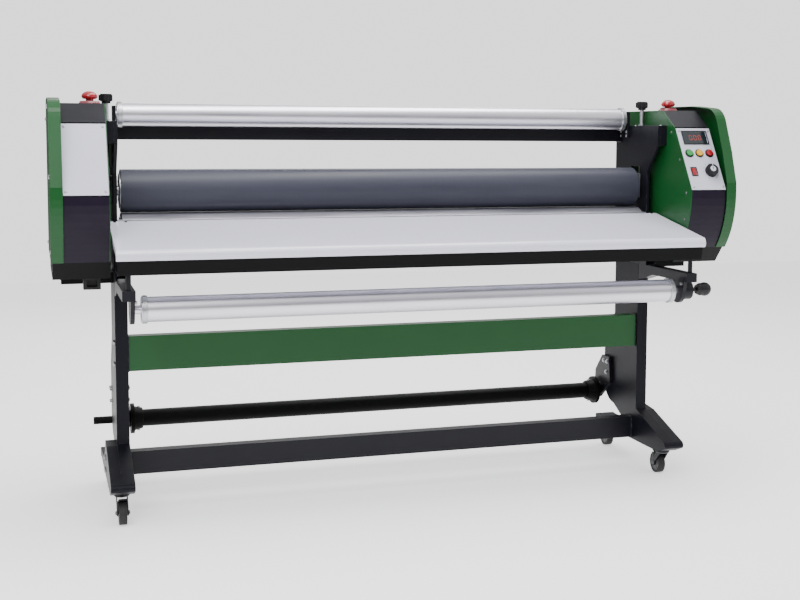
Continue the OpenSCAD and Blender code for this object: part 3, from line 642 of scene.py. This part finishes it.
INNER_COVER_SCREWS = ((-198, 935), (-150, 1040), (-90, 1128), (-190, 850), (-112, 785), (240, 978))
INNER_COVER_WALL = 2.2


def inner_cover_screws():
    """Small screws on the inner faces of the housings."""
    bm = bmesh.new()
    high = box_of("inner_covers")[1]
    for side in (-1, 1):
        inner = side * (high.x - INNER_COVER_WALL)
        for y, z in INNER_COVER_SCREWS:
            button_screw(bm, (inner, y, z), (-side, 0, 0), 0.9)
    return finish_piece("inner_cover_screws", bm, ROOT, "cast_grey")


def fascia_screws():
    """A screw in each corner of the control panel and of its plain twin on the left."""
    bm = bmesh.new()
    place, normal, across, up = panel_frame()
    low, high, _ = box_of("control_panel")
    half_x = (high.x - low.x) / 2 - 8
    half_y = PANEL_LENGTH / 2 - 10
    for side in (-1, 1):
        centre = Vector((side * place.x, place.y, place.z))
        for x in (-half_x, half_x):
            for y in (-half_y, half_y):
                button_screw(bm, centre + across * x + up * y, normal, 0.8)
    return finish_piece("fascia_screws", bm, ROOT, "zinc")


# ---------------------------------------------------------------- control panel

KEYS = ("forward_button", "reverse_button", "stop_button")
PANEL_LENGTH = 227.5
PANEL_HALF_THICKNESS = 1.5
# node: half height and frame width, in mm
FRAMED = {"display_window": (22.2, 3.5), "power_rocker": (13.2, 3.0)}
FRAME_HEIGHT = 2.4


def joint_named(name):
    return next(joint for joint in frame["joints"] if joint["name"] == name)


def panel_frame():
    """The control panel's middle on its outer face in mm, its normal, and its two directions."""
    normal = Vector(joint_named("forward_key_press")["axis"]).normalized()
    across = Vector((1, 0, 0))
    up = normal.cross(across)
    middle = box_of("control_panel")[2] + normal * PANEL_HALF_THICKNESS
    return middle, normal, across, up


def on_panel(node):
    """Where a node sits on the control panel, in mm across and up from its middle."""
    middle, _, across, up = panel_frame()
    offset = box_of(node)[2] - middle
    return offset.dot(across), offset.dot(up)


def panel_matrix(x=0, y=0, height=0):
    middle, normal, across, up = panel_frame()
    matrix = Matrix((across, up, normal)).transposed().to_4x4()
    matrix.translation = (middle + across * x + up * y + normal * height) * MM
    return matrix


def ring(bm, matrix, inner, outer, height):
    edge = 0.35
    lathe(bm, [(inner, 0), (inner, height - edge), (inner + edge, height), (outer - edge, height),
               (outer, height - edge), (outer, 0), (inner, 0)], matrix, 48)


def control_bezels():
    """Rings round the keys, and frames round the display and the rocker."""
    bm = bmesh.new()
    for key in KEYS:
        ring(bm, panel_matrix(*on_panel(key)), inner=11.05, outer=14.5, height=2.2)
    for node, (half_y, margin) in FRAMED.items():
        low, high, _ = box_of(node)
        half_x = (high.x - low.x) / 2 + 0.9
        matrix = panel_matrix(*on_panel(node))
        for sign in (-1, 1):
            edge_x = sorted((sign * half_x, sign * (half_x + margin)))
            edge_y = sorted((sign * half_y, sign * (half_y + margin)))
            soft_box(bm, (edge_x[0], -half_y - margin, 0), (edge_x[1], half_y + margin, FRAME_HEIGHT),
                     matrix, 0.7)
            soft_box(bm, (-half_x - 0.5, edge_y[0], 0), (half_x + 0.5, edge_y[1], FRAME_HEIGHT),
                     matrix, 0.7)
    return finish_piece("control_bezels", bm, ROOT, "black_plastic")


def dial_scale():
    """Plain ticks round the speed dial, longer at the ends and in the middle."""
    bm = bmesh.new()
    dial = panel_matrix(*on_panel("speed_knob"))
    ticks, sweep, inner = 11, 300, 24.5
    for i in range(ticks):
        angle = math.radians(-sweep / 2 + sweep * i / (ticks - 1))
        length = 5.5 if i % 5 == 0 else 3.2
        matrix = dial @ Matrix.Rotation(-angle, 4, "Z")
        soft_box(bm, (-0.45, inner, 0), (0.45, inner + length, 0.35), matrix, 0.12, 1)
    return finish_piece("dial_scale", bm, ROOT, "black_plastic")


def display_segments():
    """Three seven-segment digits behind the display window, all reading zero."""
    bm = bmesh.new()
    x, y = on_panel("display_window")
    half_w, half_h, half_stroke, pitch, proud = 4.5, 8.5, 0.8, 16, 0.12
    for i in (-1, 0, 1):
        matrix = panel_matrix(x + i * pitch, y, 0.3)
        for sign in (-1, 1):
            row, column = sign * half_h, sign * half_w
            soft_box(bm, (-half_w + 1, row - half_stroke, 0), (half_w - 1, row + half_stroke, proud),
                     matrix, 0.05, 1)
            for half in (-1, 1):
                middle = half * half_h / 2
                soft_box(bm, (column - half_stroke, middle - half_h / 2 + 1, 0),
                         (column + half_stroke, middle + half_h / 2 - 1, proud), matrix, 0.05, 1)
    return finish_piece("display_segments", bm, ROOT, "display_glow")


def knob_pointer():
    """The speed dial's bright cap and pointer line."""
    bm = bmesh.new()
    dial = panel_matrix(*on_panel("speed_knob"))
    soft_box(bm, (-0.9, 4, 19.4), (0.9, 17.2, 20.1), dial, 0.2, 1)
    lathe(bm, [(0, 18.6), (9, 18.6), (9.6, 18.3), (9.6, 17.6)], dial, 40)
    return finish_piece("knob_pointer", bm, "speed_dial", "panel_silver")


def knob_grips():
    """Ribs round the speed dial's skirt."""
    bm = bmesh.new()
    dial = panel_matrix(*on_panel("speed_knob"))
    ribs = 24
    for i in range(ribs):
        matrix = dial @ Matrix.Rotation(2 * math.pi * i / ribs, 4, "Z")
        soft_box(bm, (-0.9, 17.4, 4), (0.9, 20.4, 17), matrix, 0.5, 1)
    return finish_piece("knob_grips", bm, "speed_dial", "black_plastic")


# ---------------------------------------------------------------- rollers, shafts and brackets

# Half the length of each shaft's tube, in mm.
TUBE_HALF = {"film_shaft": 846, "print_shaft": 816}


def shaft_collars(name, node, body):
    """Set collars near both ends of a shaft, each with its clamping screw."""
    bm = bmesh.new()
    low, high, mid = box_of(node)
    radius = (high.z - low.z) / 2
    width, proud = 14, 4
    start = TUBE_HALF[node] - 16
    for side in (-1, 1):
        matrix = frame_at(Vector((side * start, mid.y, mid.z)) * MM, (side, 0, 0))
        lathe(bm, [(radius - 0.5, 0), (radius + proud - 0.8, 0), (radius + proud, 0.8),
                   (radius + proud, width - 0.8), (radius + proud - 0.8, width),
                   (radius - 0.5, width)], matrix, 64)
        place = (side * (start + width / 2), mid.y, mid.z + radius + proud - 4.5)
        socket_screw(bm, place, (0, 0, 1), 0.62)
    return finish_piece(name, bm, body, "bare_steel")


def roller_end_plates():
    """Seal plates on the ends of both rollers, with their three screws."""
    screw_circle = 32
    for body in ("upper_roller", "lower_roller"):
        node = body + "_sleeve"
        bm = bmesh.new()
        low, high, mid = box_of(node)
        radius = (high.z - low.z) / 2 - 12
        for side in (-1, 1):
            matrix = frame_at(Vector((side * high.x, mid.y, mid.z)) * MM, (side, 0, 0))
            lathe(bm, [(16, 0), (16, 3), (17, 3.4), (radius - 1, 3.4), (radius, 2.6), (radius, 0)],
                  matrix, 64)
            for i in range(3):
                angle = math.radians(120 * i)
                spot = Vector((math.cos(angle) * screw_circle, math.sin(angle) * screw_circle, 3.2))
                button_screw(bm, matrix @ (spot * MM) / MM, (side, 0, 0), 1.0)
        finish_piece(body + "_end_plates", bm, body, "bare_steel")


def cradle_bolts():
    """Bolts in the film shaft's cradles and in the covers that bridge the side plates."""
    bm = bmesh.new()
    _, high, mid = box_of("film_shaft")
    bridge_low, bridge_high, _ = box_of("pressure_bridges")
    for side in (-1, 1):
        for y in (mid.y - 21, mid.y + 21):
            for z in (mid.z - 56, mid.z - 42):
                button_screw(bm, (side * (high.x - 8), y, z), (-side, 0, 0), 0.9)
        for y in (bridge_low.y + 24, bridge_high.y - 16):
            button_screw(bm, (side * (bridge_high.x - 11), y, bridge_high.z), (0, 0, 1), 0.9)
    return finish_piece("cradle_bolts", bm, ROOT, "zinc")


def print_bracket_bolts():
    """Bolts in the print shaft's brackets and in the end of its brake housing."""
    bm = bmesh.new()
    mid = box_of("print_shaft")[2]
    bracket_x, brake_x, brake_circle = 835, 880, 22
    for side in (-1, 1):
        for y in (mid.y - 34, mid.y + 34):
            socket_screw(bm, (side * bracket_x, y, mid.z + 24), (-side, 0, 0), 0.8)
    for i in range(4):
        angle = math.radians(45 + 90 * i)
        y = mid.y + brake_circle * math.cos(angle)
        z = mid.z + brake_circle * math.sin(angle)
        socket_screw(bm, (brake_x, y, z), (1, 0, 0), 0.55)
    return finish_piece("print_bracket_bolts", bm, ROOT, "zinc")


def takeup_bolts():
    """Nuts on the take-up brackets and the heads of their bolts outside the legs."""
    bm = bmesh.new()
    bracket_x, leg_x = 822, 871
    for side in (-1, 1):
        for y, z in ((216, 322), (242, 322), (222, 284)):
            nut_and_washer(bm, (side * bracket_x, y, z), (-side, 0, 0), 0.7)
            socket_screw(bm, (side * leg_x, y, z), (side, 0, 0), 0.9)
    return finish_piece("takeup_bolts", bm, ROOT, "zinc")


def flange_screws():
    """Thumb screws that lock the core flanges on the take-up shaft."""
    bm = bmesh.new()
    _, high, mid = box_of("takeup_flanges")
    for side in (-1, 1):
        for sign in (-1, 1):
            place = (side * (high.x - 26), mid.y, mid.z + sign * 33)
            socket_screw(bm, place, (0, 0, sign), 0.75)
    return finish_piece("flange_screws", bm, "takeup_roll_shaft", "zinc")


# ---------------------------------------------------------------- stand


def weld_bead(bm, start, end, radius, seed):
    """A rippled bead between two points in mm."""
    start, end = Vector(start) * MM, Vector(end) * MM
    steps = max(8, int((end - start).length / (2.2 * MM)))
    points = [start.lerp(end, i / steps) for i in range(steps + 1)]
    bead_path(bm, points, radius * MM, 8, lambda i: 1 + 0.16 * math.sin(i * 1.9 + seed))


def beam_welds():
    """Weld beads where the tie bars meet the legs and the side plates."""
    bm = bmesh.new()
    for node in ("front_beam", "lower_tie_bar", "upper_tie_bar"):
        low, high, _ = box_of(node)
        for side in (-1, 1):
            x = side * (high.x - 1)
            corners = [(x, low.y, low.z), (x, high.y, low.z), (x, high.y, high.z),
                       (x, low.y, high.z)]
            for i, corner in enumerate(corners):
                weld_bead(bm, corner, corners[(i + 1) % 4], 2.2, i + side)
    return finish_piece("beam_welds", bm, ROOT, "frame_black", 60)


def foot_caps():
    """Moulded caps over the ends of the rear feet."""
    bm = bmesh.new()
    for node in ("left_leg", "right_leg"):
        low, high, _ = box_of(node)
        soft_box(bm, (low.x - 1, high.y - 10, low.z - 1), (high.x + 1, high.y + 3, low.z + 27.5),
                 Matrix.Identity(4), 2.2, 3)
    return finish_piece("foot_caps", bm, ROOT, "black_plastic")


CASTERS = ("front_left", "front_right", "rear_left", "rear_right")


def caster_details(corner):
    """Swivel race, axle nuts and a brake pedal on one caster."""
    fork_high = box_of(corner + "_fork")[1]
    wheel_mid = box_of(corner + "_wheel")[2]
    swivel = Vector(joint_named(corner + "_caster_swivel")["pos_m"]) / MM
    bm = bmesh.new()
    race = Matrix.Translation(Vector((swivel.x, swivel.y, fork_high.z - 9)) * MM)
    lathe(bm, [(17, -3), (20.5, -2), (22, 0), (20.5, 1.6), (17, 2)], race, 40)
    for side in (-1, 1):
        place = (wheel_mid.x + side * 16.5, wheel_mid.y, wheel_mid.z)
        nut_and_washer(bm, place, (side, 0, 0), 0.62)
    finish_piece(corner + "_caster_hardware", bm, corner + "_caster", "cast_grey")
    pedal = bmesh.new()
    matrix = Matrix.Translation(wheel_mid * MM)
    if wheel_mid.y > swivel.y:
        matrix = matrix @ Matrix.Rotation(math.pi, 4, "Z")
    tilt = Matrix.Rotation(math.radians(-24), 4, "X")
    soft_box(pedal, (-13, -34, 30), (13, -8, 34), matrix @ tilt, 1.2)
    for x in (-14.2, 11.2):
        soft_box(pedal, (x, -14, 6), (x + 3, 4, 33), matrix, 0.9)
    for i in range(4):
        soft_box(pedal, (-11, -31 + 6 * i, 33.6), (11, -28.5 + 6 * i, 35), matrix @ tilt, 0.4, 1)
    finish_piece(corner + "_brake_pedal", pedal, corner + "_caster", "black_plastic")


def wheel_hub(corner):
    """Grey nylon hub faces with spokes, set in the recesses of one wheel."""
    low, high, mid = box_of(corner + "_wheel")
    radius = (high.z - low.z) / 2
    bm = bmesh.new()
    for side in (-1, 1):
        matrix = frame_at(Vector((mid.x + side * 8.2, mid.y, mid.z)) * MM, (side, 0, 0))
        lathe(bm, [(10.2, 0), (10.2, 2.0), (11.4, 2.4), (13, 1.0), (radius - 11, 0.8),
                   (radius - 9.4, 1.9), (radius - 8.2, 1.9), (radius - 8.2, 0), (10.2, 0)],
              matrix, 40)
        for i in range(6):
            spoke = matrix @ Matrix.Rotation(math.pi * i / 3, 4, "Z")
            soft_box(bm, (11, -1.6, 0.2), (radius - 10, 1.6, 2.2), spoke, 0.5, 1)
    return finish_piece(corner + "_wheel_hub", bm, corner + "_caster_wheel", "hub_grey")


# ---------------------------------------------------------------- put the pieces on

housing_screws()
inner_cover_screws()
fascia_screws()
control_bezels()
dial_scale()
display_segments()
knob_pointer()
knob_grips()
shaft_collars("film_shaft_collars", "film_shaft", "film_roll_shaft")
shaft_collars("print_shaft_collars", "print_shaft", "print_roll_shaft")
roller_end_plates()
cradle_bolts()
print_bracket_bolts()
takeup_bolts()
flange_screws()
beam_welds()
foot_caps()
for corner in CASTERS:
    caster_details(corner)
    wheel_hub(corner)
